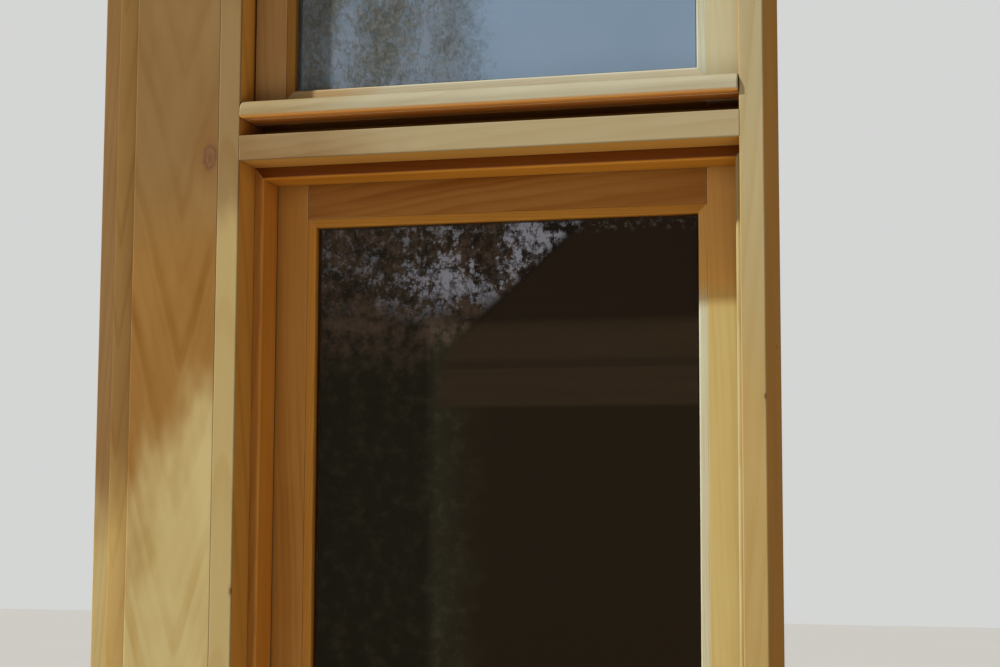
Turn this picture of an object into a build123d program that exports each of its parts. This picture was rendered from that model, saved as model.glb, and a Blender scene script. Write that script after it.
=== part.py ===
from build123d import *
from math import radians, tan
import os

# Sash window of varnished pine with its frame.
# The lower sash slides up on spiral balances, behind the transom and the upper light.
# The upper light is a top-hung vent with a rounded drip nose along its bottom rail.
# X runs to the right along the wall, Y into the wall from the frame's outside face, Z up.
# The origin is on the underside of the sill, in the middle of the clear opening.
# All sizes are in millimetres.

# Clear opening
OPENING_W = 660.0           # between the two posts
LOWER_H = 960.0             # from the sill's flat seat to the underside of the transom
UPPER_H = 428.5             # from the front top edge of the transom to the head

# Depths, from the outside face to the room
VENT_FACE_Y = 45.0
VENT_T = 40.0
GASKET_GAP = 2.0            # between the vent and the stops that it closes against
VENT_STOP_D = 20.0
PILE_GAP = 3.0              # between those stops and the sliding sash
LOWER_T = 42.0
STAFF_GAP = 2.0             # between the sliding sash and the staff beads
STAFF_T = 18.0

# Frame members
POST_W = 30.0
HEAD_H = 30.0
TRANSOM_H = 33.5
UPSTAND_H = 34.0
TRANSOM_SLOPE = 7.0         # degrees
ARRIS = 1.5
JOINT_V = 0.7               # small V where two pieces meet on the face

# Sill
SILL_H = 48.0
SILL_NOSE = 45.0            # how far it stands out in front of the face
SILL_SEAT_LAP = 4.0         # the flat seat starts this far in front of the stops
SILL_SLOPE = 9.0            # degrees
SILL_ROUND = 7.0
HORN_L = 15.0               # past the casing
DRIP_W = 6.0
DRIP_D = 5.0
DRIP_SETBACK = 14.0

# Casing on the left
BOARD_W = 120.5
BOARD_T = 22.0
INNER_STRIP_W = 28.0
INNER_STRIP_SETBACK = 3.5
INNER_STRIP_CROWN = 1.6
OUTER_STRIP_W = 22.5
OUTER_STRIP_SETBACK = 7.0
CASING_ARRIS = 2.0
TONGUE_L = 6.0
TONGUE_T = 7.0
TONGUE_Y = 7.5

# Stop mouldings round the lower opening, on the outside of the sliding sash
STOP_D = 51.0
STOP_W = 12.5
STOP_TOP_H = 16.5
STOP_ROUND = 4.0

# Stops that the vent closes against
VENT_STOP_W = 12.0

# Staff beads on the room side of the sliding sash
STAFF_W = 15.0
STAFF_BOTTOM_H = 25.0
STAFF_ROUND = 5.0

# What both sashes share
SASH_SIDE_GAP = 3.0
BEAD_W = 12.0
BEAD_D = 12.0
BEAD_SETBACK = 0.9
BEAD_ROUND = 2.5
GLASS_T = 4.0
SPACER_T = 12.0
SPACER_W = 10.5
SPACER_INSET = 4.0
PANE_GAP = 3.0
TENON_T = 14.0
TENON_L = 34.0
TENON_INSET = 12.0
TENON_SHOULDER = 10.0
MORTISE_ROOM = 1.0

# Lower sash
LOWER_STILE_W = 53.0
LOWER_TOP_W = 60.0
LOWER_BOTTOM_W = 78.0
LOWER_TOP_GAP = 3.0
LOWER_REST_GAP = 0.4

# Upper sash
VENT_STILE_W = 44.0
VENT_TOP_W = 44.0
VENT_BOTTOM_W = 32.5
VENT_BOTTOM_GAP = 22.5      # above the transom's front top edge
VENT_TOP_GAP = 3.0

# Drip nose of the vent
NOSE_OUT = 5.0              # in front of the frame's face
NOSE_RISE = 23.6            # underside above the transom's front top edge
NOSE_H = 21.5               # at the front
NOSE_BACK_H = 27.0          # at the sash
NOSE_ROUND_TOP = 14.0
NOSE_ROUND_LOW = 4.0
NOSE_SIDE_GAP = 0.8
NOSE_END_ROUND = 2.0
NOSE_TONGUE = 6.0
NOSE_TONGUE_H = 8.0
NOSE_TONGUE_RISE = 8.0
NOSE_DRIP_Y = 12.0

# Seals
SEAT_GAP = 0.3              # between a seal and the piece that it touches
PILE_W = 5.0
PILE_EDGE = 4.0
GASKET_W = 8.0
GASKET_LAP = 2.0

# Fly screen behind the vent
SCREEN_GAP = 2.0            # in front of the sliding sash's side of the stops
SCREEN_T = 8.0
SCREEN_BAR_W = 14.0
MESH_T = 0.6
MESH_INSET = 5.0

# Spiral balances in the edges of the lower sash
GROOVE_D = 14.0
GROOVE_W = 14.0
TUBE_R = 5.5
TUBE_BORE_R = 4.3
TUBE_WALL_GAP = 0.3
TUBE_TOP_GAP = 8.0
TUBE_L = 900.0
TUBE_BLOCK_L = 22.0
PLUG_L = 8.0
PLUG_BORE_R = 3.6
ROD_W = 6.0
ROD_T = 1.8
ROD_IN_TUBE = 45.0          # when the sash is down
ROD_LEAD = 180.0            # one turn of the twist
FOOT_H = 12.0

# Hinges of the vent
HINGE_INSET = 130.0         # from the side of the opening to the hinge's middle
HINGE_L = 64.0
HINGE_R = 3.4
HINGE_PIN_R = 1.6
HINGE_PIN_FIT = 0.06
HINGE_KNUCKLE_L = 21.0
HINGE_KNUCKLE_GAP = 0.3
HINGE_CLEAR = 0.5
LEAF_T = 1.4
LEAF_L = 26.0

# Bolt of the vent
BOLT_STAND = 6.6            # its axis behind the vent
BOLT_R = 3.0
BOLT_FIT = 0.1
BOLT_HOLE_FIT = 0.4
BOLT_L = 33.0
BOLT_LIFT = 2.0             # its tip above the upstand when it is drawn
BOLT_THROW = 10.0
BOLT_PLATE_W = 22.0
BOLT_PLATE_H = 28.0
BOLT_PLATE_T = 1.6
BOLT_GUIDE_W = 12.0
BOLT_GUIDE_H = 4.0
BOLT_GUIDE_D = 11.2
BOLT_KNOB_R = 2.4
BOLT_KNOB_L = 14.0

# Lock and lifts on the room side of the lower sash
LOCK_PLATE = 26.0
LOCK_PLATE_T = 2.0
LOCK_HUB_R = 7.0
LOCK_ARM_L = 22.0
LOCK_ARM_W = 9.0
LOCK_ARM_T = 4.0
LOCK_THUMB_L = 20.0
LOCK_TIP_GAP = 5.0          # below the hanging tongue
LOCK_PIN_R = 3.0
LOCK_PIN_FIT = 0.06
KEEPER_GAP = 1.5
KEEPER_X = 12.0
KEEPER_W = 16.0
KEEPER_T = 4.0
KEEPER_D = 8.0
LIFT_X = 170.0
LIFT_RISE = 19.0            # above the staff bead
LIFT_W = 42.0
LIFT_H = 32.0
LIFT_T = 2.5
LIFT_REACH = 20.0

# Joints of the frame
POST_TENON_X = 14.0
POST_TENON_Y = 70.0
POST_TENON_H = 14.0
TRANSOM_TENON_L = 18.0
TRANSOM_TENON_Y = 40.0
TRANSOM_TENON_Z = 20.0

# Fixing holes through the posts, hidden behind the sliding sash
FIXING_R = 3.5
FIXING_HEAD_R = 6.5
FIXING_SETBACK = 7.5        # behind the sliding sash's face
FIXING_END = 130.0          # from the sill's seat and from the head

# Worked out from the sizes above
VENT_BACK_Y = VENT_FACE_Y + VENT_T
UPSTAND_Y = VENT_BACK_Y + GASKET_GAP
TRANSOM_D = UPSTAND_Y + VENT_STOP_D
STOP_Y = TRANSOM_D - STOP_D
SILL_SEAT_Y = STOP_Y - SILL_SEAT_LAP
LOWER_FACE_Y = TRANSOM_D + PILE_GAP
LOWER_BACK_Y = LOWER_FACE_Y + LOWER_T
STAFF_Y = LOWER_BACK_Y + STAFF_GAP
FRAME_D = STAFF_Y + STAFF_T
SCREEN_Y = TRANSOM_D - SCREEN_GAP - SCREEN_T
BALANCE_Y = LOWER_FACE_Y + LOWER_T / 2
BOLT_Y = VENT_BACK_Y + BOLT_STAND
FIXING_Y = LOWER_FACE_Y + FIXING_SETBACK
HALF_W = OPENING_W / 2
HALF_FRAME = HALF_W + POST_W
TRANSOM_Z = SILL_H + LOWER_H
UPPER_Z = TRANSOM_Z + TRANSOM_H
HEAD_Z = UPPER_Z + UPPER_H
TOP_Z = HEAD_Z + HEAD_H
HALF_SASH = HALF_W - SASH_SIDE_GAP
HINGE_X = HALF_W - HINGE_INSET
UPSTAND_Z = UPPER_Z + UPSTAND_H
BOARD_X = HALF_FRAME + BOARD_W
STRIP_X = BOARD_X + INNER_STRIP_W
CASING_X = STRIP_X + OUTER_STRIP_W
REBATE_D = BEAD_D + 2 * GLASS_T + SPACER_T
LOWER_LOW_Z = SILL_H + LOWER_REST_GAP
LOWER_HIGH_Z = TRANSOM_Z - LOWER_TOP_GAP
VENT_LOW_Z = UPPER_Z + VENT_BOTTOM_GAP
VENT_HIGH_Z = HEAD_Z - VENT_TOP_GAP
STAFF_BOTTOM_Z = SILL_H + STAFF_BOTTOM_H
LOCK_Z = STAFF_BOTTOM_Z + LOCK_TIP_GAP + LOCK_ARM_L
LIFT_Z = STAFF_BOTTOM_Z + LIFT_RISE
FIXING_HEIGHTS = (SILL_H + FIXING_END, (SILL_H + HEAD_Z) / 2, HEAD_Z - FIXING_END)
SIDES = (("left", -1), ("right", 1))


def finish(builder, label):
    """Name a finished piece and write it to its own file."""
    builder.part.label = label
    export_step(builder.part, f"parts/{label}.step")


def sill_top(y):
    """Height of the sill's upper surface at depth y."""
    return SILL_H - max(SILL_SEAT_Y - y, 0) * tan(radians(SILL_SLOPE))


def front_edges(builder, along):
    """The edges on the front plane of a piece that run along one axis."""
    return builder.edges().filter_by(along).group_by(Axis.Y)[0]


def mitred_outline(side, half, low, high, width, top, bottom):
    """Corners of one bar of a mitred frame; a width of 0 leaves that end square."""
    inner = half - width
    inner_high = high - top
    inner_low = low + bottom
    if side == "top":
        return [(-half, high), (-inner, inner_high), (inner, inner_high), (half, high)]
    if side == "bottom":
        return [(-half, low), (-inner, inner_low), (inner, inner_low), (half, low)]
    sign = -1 if side == "left" else 1
    return [
        (sign * half, low),
        (sign * inner, inner_low),
        (sign * inner, inner_high),
        (sign * half, high),
    ]


def mitred_bar(label, side, outline, front, depth, round_front=0.0, round_back=0.0):
    """A bar of a mitred frame, rounded along the edges that face the opening."""
    along = Axis.Z if side in ("left", "right") else Axis.X
    across = Axis.X if along == Axis.Z else Axis.Z
    inner = -1 if side in ("left", "bottom") else 0
    with BuildPart() as bar:
        with BuildSketch(Plane.XZ.offset(-front)):
            with BuildLine():
                Polyline(*outline, close=True)
            make_face()
        extrude(amount=-depth)
        if round_front:
            fillet(bar.edges().filter_by(along).group_by(Axis.Y)[0].sort_by(across)[inner], round_front)
        if round_back:
            fillet(bar.edges().filter_by(along).group_by(Axis.Y)[-1].sort_by(across)[inner], round_back)
    finish(bar, label)


def ring(label, half, low, high, width, front, depth):
    """A flat rectangular ring that stands in the plane of the window."""
    centre_z = (low + high) / 2
    with BuildPart() as loop:
        with BuildSketch(Plane.XZ.offset(-front)):
            with Locations((0, centre_z)):
                Rectangle(2 * half, high - low)
                Rectangle(2 * (half - width), high - low - 2 * width, mode=Mode.SUBTRACT)
        extrude(amount=-depth)
    finish(loop, label)


def sheet(label, half, low, high, front, depth):
    """A flat rectangular pane or sheet."""
    with BuildPart() as pane:
        with BuildSketch(Plane.XZ.offset(-front)):
            with Locations((0, (low + high) / 2)):
                Rectangle(2 * half, high - low)
        extrude(amount=-depth)
    finish(pane, label)


def make_sill():
    back = FRAME_D
    with BuildPart() as sill:
        with BuildSketch(Plane.YZ.offset(-HALF_FRAME)):
            with BuildLine():
                Polyline(
                    (-SILL_NOSE, 0),
                    (back, 0),
                    (back, SILL_H),
                    (SILL_SEAT_Y, SILL_H),
                    (-SILL_NOSE, sill_top(-SILL_NOSE)),
                    close=True,
                )
            make_face()
        extrude(amount=2 * HALF_FRAME)
        with BuildSketch(Plane.YZ.offset(-HALF_FRAME)):
            with BuildLine():
                Polyline(
                    (-SILL_NOSE, 0),
                    (BOARD_T, 0),
                    (BOARD_T, sill_top(BOARD_T)),
                    (-SILL_NOSE, sill_top(-SILL_NOSE)),
                    close=True,
                )
            make_face()
        extrude(amount=-(CASING_X + HORN_L - HALF_FRAME))
        fillet(front_edges(sill, Axis.X).sort_by(Axis.Z)[-1], SILL_ROUND)
        with BuildSketch(Plane.YZ.offset(HALF_FRAME)):
            with Locations((-SILL_NOSE + DRIP_SETBACK, DRIP_D / 2)):
                Rectangle(DRIP_W, DRIP_D)
        extrude(amount=-(CASING_X + HORN_L + HALF_FRAME), mode=Mode.SUBTRACT)
        for _, sign in SIDES:
            with Locations((sign * (HALF_W + POST_W / 2), FRAME_D / 2, SILL_H)):
                Box(
                    POST_TENON_X,
                    POST_TENON_Y,
                    POST_TENON_H + MORTISE_ROOM,
                    align=(Align.CENTER, Align.CENTER, Align.MAX),
                    mode=Mode.SUBTRACT,
                )
    finish(sill, "sill")


def make_post(name, sign):
    """A post with tenons into sill and head, and a mortise for the transom."""
    low_x = min(sign * HALF_W, sign * HALF_FRAME)
    centre_x = low_x + POST_W / 2
    with BuildPart() as post:
        with BuildSketch(Plane.YZ.offset(low_x)):
            with BuildLine():
                Polyline(
                    (0, sill_top(0)),
                    (SILL_SEAT_Y, SILL_H),
                    (FRAME_D, SILL_H),
                    (FRAME_D, HEAD_Z),
                    (0, HEAD_Z),
                    close=True,
                )
            make_face()
        extrude(amount=POST_W)
        arrises = front_edges(post, Axis.Z).sort_by(Axis.X)
        fillet(arrises[-1] if name == "left" else arrises, ARRIS)
        if name == "left":
            chamfer(front_edges(post, Axis.Z).sort_by(Axis.X)[0], JOINT_V)
        with Locations((centre_x, FRAME_D / 2, SILL_H - POST_TENON_H / 2)):
            Box(POST_TENON_X, POST_TENON_Y, POST_TENON_H)
        with Locations((centre_x, FRAME_D / 2, HEAD_Z + POST_TENON_H / 2)):
            Box(POST_TENON_X, POST_TENON_Y, POST_TENON_H)
        depth = TRANSOM_TENON_L + MORTISE_ROOM
        with Locations((sign * (HALF_W + depth / 2), TRANSOM_D / 2, TRANSOM_Z + TRANSOM_H / 2)):
            Box(depth, TRANSOM_TENON_Y, TRANSOM_TENON_Z, mode=Mode.SUBTRACT)
        inner_face = Plane(origin=(sign * HALF_W, FIXING_Y, 0), x_dir=(0, 1, 0), z_dir=(-sign, 0, 0))
        with Locations(*(inner_face.offset(0).location * Location((0, -sign * h, 0)) for h in FIXING_HEIGHTS)):
            CounterSinkHole(FIXING_R, FIXING_HEAD_R)
        if name == "left":
            with Locations((-HALF_FRAME + TONGUE_L / 2, TONGUE_Y + TONGUE_T / 2, TOP_Z / 2)):
                Box(TONGUE_L, TONGUE_T, TOP_Z, mode=Mode.SUBTRACT)
    finish(post, f"post_{name}")


def make_head():
    with BuildPart() as head:
        with Locations((0, 0, HEAD_Z)):
            Box(2 * HALF_FRAME, FRAME_D, HEAD_H, align=(Align.CENTER, Align.MIN, Align.MIN))
        fillet(front_edges(head, Axis.X).sort_by(Axis.Z)[0], ARRIS)
        for _, sign in SIDES:
            with Locations((sign * (HALF_W + POST_W / 2), FRAME_D / 2, HEAD_Z)):
                Box(
                    POST_TENON_X,
                    POST_TENON_Y,
                    POST_TENON_H + MORTISE_ROOM,
                    align=(Align.CENTER, Align.CENTER, Align.MIN),
                    mode=Mode.SUBTRACT,
                )
    finish(head, "head")


def make_transom():
    """The transom: flush face, weathered top and the upstand at its back."""
    rise = UPSTAND_Y * tan(radians(TRANSOM_SLOPE))
    with BuildPart() as transom:
        with BuildSketch(Plane.YZ.offset(-HALF_W)):
            with BuildLine():
                Polyline(
                    (0, TRANSOM_Z),
                    (TRANSOM_D, TRANSOM_Z),
                    (TRANSOM_D, UPSTAND_Z),
                    (UPSTAND_Y, UPSTAND_Z),
                    (UPSTAND_Y, UPPER_Z + rise),
                    (0, UPPER_Z),
                    close=True,
                )
            make_face()
        extrude(amount=OPENING_W)
        fillet(front_edges(transom, Axis.X), ARRIS)
        for _, sign in SIDES:
            with Locations((sign * (HALF_W + TRANSOM_TENON_L / 2), TRANSOM_D / 2, TRANSOM_Z + TRANSOM_H / 2)):
                Box(TRANSOM_TENON_L, TRANSOM_TENON_Y, TRANSOM_TENON_Z)
        with Locations((0, BOLT_Y, UPSTAND_Z)):
            Hole(BOLT_R + BOLT_HOLE_FIT, BOLT_THROW + BOLT_L / 4)
    finish(transom, "transom")


def casing_bar(label, outline, width, left_x, setback, rounded):
    """A casing piece that stands on the sloping sill, flat on the wall; outline bends its front face."""
    with BuildPart() as bar:
        with BuildSketch(Plane.YZ.offset(left_x)):
            with BuildLine():
                Polyline(
                    (setback, sill_top(setback)),
                    (BOARD_T, sill_top(BOARD_T)),
                    (BOARD_T, TOP_Z),
                    (setback, TOP_Z),
                    close=True,
                )
            make_face()
        extrude(amount=width)
        if outline:
            with BuildSketch():
                with BuildLine():
                    ThreePointArc(*outline)
                    Polyline(
                        outline[-1],
                        (outline[-1][0], setback - BOARD_T),
                        (outline[0][0], setback - BOARD_T),
                        outline[0],
                    )
                make_face()
            extrude(amount=TOP_Z, mode=Mode.SUBTRACT)
        if rounded:
            fillet(bar.edges().filter_by(Axis.Z).sort_by(Axis.X).group_by(Axis.X)[0].sort_by(Axis.Y)[0], rounded)
        if label == "casing_board":
            chamfer(front_edges(bar, Axis.Z).sort_by(Axis.X)[-1], JOINT_V)
            tongue_low = sill_top(TONGUE_Y + TONGUE_T)
            with Locations((-HALF_FRAME, TONGUE_Y, tongue_low)):
                Box(
                    TONGUE_L,
                    TONGUE_T,
                    HEAD_Z - tongue_low,
                    align=(Align.MIN, Align.MIN, Align.MIN),
                )
    finish(bar, label)


def make_casing():
    casing_bar("casing_board", None, BOARD_W, -BOARD_X, 0.0, CASING_ARRIS)
    crown = (
        (-STRIP_X, INNER_STRIP_SETBACK + INNER_STRIP_CROWN / 4),
        (-STRIP_X + INNER_STRIP_W * 0.4, INNER_STRIP_SETBACK),
        (-BOARD_X, INNER_STRIP_SETBACK + INNER_STRIP_CROWN),
    )
    casing_bar("casing_inner_strip", crown, INNER_STRIP_W, -STRIP_X, INNER_STRIP_SETBACK, ARRIS)
    casing_bar("casing_outer_strip", None, OUTER_STRIP_W, -CASING_X, OUTER_STRIP_SETBACK, CASING_ARRIS)


def make_stops():
    """Stop mouldings, vent stops and staff beads, planted on the frame."""
    depth = TRANSOM_D - STOP_Y
    vent_depth = TRANSOM_D - UPSTAND_Y
    for side in ("left", "right", "top"):
        outline = mitred_outline(side, HALF_W, SILL_H, TRANSOM_Z, STOP_W, STOP_TOP_H, 0)
        mitred_bar(f"stop_{side}", side, outline, STOP_Y, depth, round_front=STOP_ROUND)
        outline = mitred_outline(side, HALF_W, UPSTAND_Z, HEAD_Z, VENT_STOP_W, VENT_STOP_W, 0)
        mitred_bar(f"vent_stop_{side}", side, outline, UPSTAND_Y, vent_depth)
    for side in ("left", "right", "top", "bottom"):
        outline = mitred_outline(side, HALF_W, SILL_H, HEAD_Z, STAFF_W, STAFF_W, STAFF_BOTTOM_H)
        mitred_bar(f"staff_bead_{side}", side, outline, STAFF_Y, STAFF_T, round_back=STAFF_ROUND)


def make_seals():
    back = LOWER_FACE_Y - SEAT_GAP
    half = HALF_SASH - PILE_EDGE
    high = LOWER_HIGH_Z - PILE_EDGE
    with BuildPart() as pile:
        with BuildSketch(Plane.XZ.offset(-TRANSOM_D)):
            with BuildLine():
                Polyline(
                    (-half, SILL_H),
                    (-half, high),
                    (half, high),
                    (half, SILL_H),
                    (half - PILE_W, SILL_H),
                    (half - PILE_W, high - PILE_W),
                    (-half + PILE_W, high - PILE_W),
                    (-half + PILE_W, SILL_H),
                    close=True,
                )
            make_face()
        extrude(amount=-(back - TRANSOM_D))
    finish(pile, "weather_pile")
    half = HALF_SASH + GASKET_LAP / 2
    low = VENT_LOW_Z + GASKET_LAP
    high = VENT_HIGH_Z - GASKET_LAP / 2
    front = VENT_BACK_Y + SEAT_GAP
    ring("vent_gasket", half, low, high, GASKET_W, front, UPSTAND_Y - front)


def make_screen():
    half = HALF_W - VENT_STOP_W - SEAT_GAP
    low = UPSTAND_Z + SEAT_GAP
    high = HEAD_Z - VENT_STOP_W - SEAT_GAP
    ring("screen_frame", half, low, high, SCREEN_BAR_W, SCREEN_Y, SCREEN_T)
    sheet("screen_mesh", half - MESH_INSET, low + MESH_INSET, high - MESH_INSET, SCREEN_Y - MESH_T, MESH_T)


def make_stile(prefix, name, sign, box, face, thick, stile_w, rails, grooved):
    """A stile with its glazing rebate and a mortise for each rail."""
    low, high = box
    back = face + thick
    rebate = face + REBATE_D
    outer = sign * HALF_SASH
    front_x = sign * (HALF_SASH - stile_w)
    lip_x = sign * (HALF_SASH - stile_w - BEAD_W)
    with BuildPart() as stile:
        with BuildSketch(Plane.XY.offset(low)):
            with BuildLine():
                Polyline(
                    (outer, face),
                    (front_x, face),
                    (front_x, rebate),
                    (lip_x, rebate),
                    (lip_x, back),
                    (outer, back),
                    close=True,
                )
            make_face()
        extrude(amount=high - low)
        depth = TENON_L + MORTISE_ROOM
        for tenon_low, tenon_high in rails:
            with Locations((front_x + sign * depth / 2, face + TENON_INSET + TENON_T / 2, (tenon_low + tenon_high) / 2)):
                Box(depth, TENON_T, tenon_high - tenon_low, mode=Mode.SUBTRACT)
        if grooved:
            with BuildSketch(Plane.XY.offset(low)):
                with Locations((outer - sign * GROOVE_D / 2, BALANCE_Y)):
                    Rectangle(GROOVE_D, GROOVE_W)
            extrude(amount=high - low, mode=Mode.SUBTRACT)
    finish(stile, f"{prefix}_stile_{name}")


def make_rail(prefix, name, outer_z, inner_z, face, thick, stile_w, tenon, nosed):
    """A rail with its rebate, its scribed lip and a stub tenon at each end."""
    back = face + thick
    rebate = face + REBATE_D
    lip_z = inner_z + (BEAD_W if outer_z < inner_z else -BEAD_W)
    front_x = HALF_SASH - stile_w
    lip_x = front_x - BEAD_W
    with BuildPart() as rail:
        with BuildSketch(Plane.YZ.offset(-front_x)):
            with BuildLine():
                Polyline(
                    (face, outer_z),
                    (back, outer_z),
                    (back, lip_z),
                    (rebate, lip_z),
                    (rebate, inner_z),
                    (face, inner_z),
                    close=True,
                )
            make_face()
        extrude(amount=2 * front_x)
        chamfer(front_edges(rail, Axis.Z), JOINT_V)
        for _, sign in SIDES:
            with Locations((sign * (front_x + lip_x) / 2, (rebate + back) / 2, (outer_z + lip_z) / 2)):
                Box(BEAD_W, back - rebate, abs(outer_z - lip_z), mode=Mode.SUBTRACT)
            with Locations(
                (sign * (front_x + TENON_L / 2), face + TENON_INSET + TENON_T / 2, (tenon[0] + tenon[1]) / 2)
            ):
                Box(TENON_L, TENON_T, tenon[1] - tenon[0])
        if nosed:
            groove_low = UPPER_Z + NOSE_RISE + NOSE_TONGUE_RISE
            with Locations((0, face, groove_low)):
                Box(
                    2 * front_x,
                    NOSE_TONGUE,
                    NOSE_TONGUE_H,
                    align=(Align.CENTER, Align.MIN, Align.MIN),
                    mode=Mode.SUBTRACT,
                )
    finish(rail, f"{prefix}_{name}_rail")


def make_sash(prefix, low, high, face, thick, stile_w, top_w, bottom_w, grooved, nosed):
    """A sash: two stiles, two rails, four mitred glazing beads and a double pane."""
    inner_low = low + bottom_w
    inner_high = high - top_w
    tenons = (
        (low + TENON_SHOULDER, inner_low - TENON_SHOULDER / 2),
        (inner_high + TENON_SHOULDER / 2, high - TENON_SHOULDER),
    )
    for name, sign in SIDES:
        make_stile(prefix, name, sign, (low, high), face, thick, stile_w, tenons, grooved)
    make_rail(prefix, "bottom", low, inner_low, face, thick, stile_w, tenons[0], nosed)
    make_rail(prefix, "top", high, inner_high, face, thick, stile_w, tenons[1], False)
    rebate_half = HALF_SASH - stile_w
    for side in ("left", "right", "top", "bottom"):
        outline = mitred_outline(side, rebate_half, inner_low, inner_high, BEAD_W, BEAD_W, BEAD_W)
        front = face + BEAD_SETBACK
        mitred_bar(f"{prefix}_bead_{side}", side, outline, front, BEAD_D - BEAD_SETBACK, round_front=BEAD_ROUND)
    half = rebate_half - PANE_GAP
    pane_low = inner_low + PANE_GAP
    pane_high = inner_high - PANE_GAP
    outer_y = face + BEAD_D
    spacer_y = outer_y + GLASS_T
    inner_y = spacer_y + SPACER_T
    sheet(f"{prefix}_pane_outer", half, pane_low, pane_high, outer_y, GLASS_T)
    sheet(f"{prefix}_pane_inner", half, pane_low, pane_high, inner_y, GLASS_T)
    ring(
        f"{prefix}_spacer",
        half - SPACER_INSET,
        pane_low + SPACER_INSET,
        pane_high - SPACER_INSET,
        SPACER_W,
        spacer_y,
        SPACER_T,
    )


def make_nose():
    """The rounded drip nose, tongued into the vent's bottom rail."""
    low = UPPER_Z + NOSE_RISE
    half = HALF_W - NOSE_SIDE_GAP
    tongue_half = HALF_SASH - VENT_STILE_W
    with BuildPart() as nose:
        with BuildSketch(Plane.YZ.offset(-half)):
            with BuildLine():
                Polyline(
                    (-NOSE_OUT, low),
                    (VENT_FACE_Y, low),
                    (VENT_FACE_Y, low + NOSE_BACK_H),
                    (-NOSE_OUT, low + NOSE_H),
                    close=True,
                )
            make_face()
        extrude(amount=2 * half)
        fillet(front_edges(nose, Axis.X).sort_by(Axis.Z)[-1], NOSE_ROUND_TOP)
        fillet(front_edges(nose, Axis.X).sort_by(Axis.Z)[0], NOSE_ROUND_LOW)
        ends = nose.faces().filter_by(Axis.X).edges()
        fillet(ends.filter_by(lambda edge: edge.center().Y < VENT_FACE_Y - 1 and edge.center().Z > low + 1),
               NOSE_END_ROUND)
        with BuildSketch(Plane.YZ.offset(-half)):
            with Locations((NOSE_DRIP_Y, low + DRIP_D / 2)):
                Rectangle(DRIP_W, DRIP_D)
        extrude(amount=2 * half, mode=Mode.SUBTRACT)
        with Locations((0, VENT_FACE_Y, low + NOSE_TONGUE_RISE)):
            Box(
                2 * tongue_half,
                NOSE_TONGUE,
                NOSE_TONGUE_H,
                align=(Align.CENTER, Align.MIN, Align.MIN),
            )
    finish(nose, "drip_nose")


def make_balance(name, sign):
    """A spiral balance: the tube hangs on the post, the twisted rod stands on the sash."""
    centre_x = sign * (HALF_W - TUBE_WALL_GAP - TUBE_R)
    tube_high = HEAD_Z - TUBE_TOP_GAP
    tube_low = tube_high - TUBE_L
    with BuildPart() as tube:
        with BuildSketch(Plane.XY.offset(tube_low)):
            with Locations((centre_x, BALANCE_Y)):
                Circle(TUBE_R)
                Circle(TUBE_BORE_R, mode=Mode.SUBTRACT)
        extrude(amount=TUBE_L)
        with BuildSketch(Plane.XY.offset(tube_low)):
            with Locations((centre_x, BALANCE_Y)):
                Circle(TUBE_R)
                Circle(PLUG_BORE_R, mode=Mode.SUBTRACT)
        extrude(amount=PLUG_L)
        block_x = 2 * TUBE_R + TUBE_WALL_GAP
        with Locations((sign * (HALF_W - block_x / 2), BALANCE_Y, tube_high)):
            Box(block_x, 2 * TUBE_R, TUBE_BLOCK_L, align=(Align.CENTER, Align.CENTER, Align.MAX))
    finish(tube, f"balance_tube_{name}")

    rod_low = LOWER_LOW_Z + FOOT_H / 2
    rod_l = tube_low + ROD_IN_TUBE - rod_low
    section = Plane(origin=(centre_x, BALANCE_Y, rod_low)) * Rectangle(ROD_W, ROD_T)
    twisted = Solid.extrude_linear_with_rotation(
        section.face(), (centre_x, BALANCE_Y, rod_low), (0, 0, rod_l), 360 * rod_l / ROD_LEAD
    )
    groove_x = sign * (HALF_SASH - GROOVE_D)
    with BuildPart() as rod:
        add(twisted)
        with Locations((groove_x + sign * GROOVE_D / 2, BALANCE_Y, LOWER_LOW_Z)):
            Box(GROOVE_D, 2 * TUBE_R, FOOT_H, align=(Align.CENTER, Align.CENTER, Align.MIN))
    finish(rod, f"balance_rod_{name}")


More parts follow.
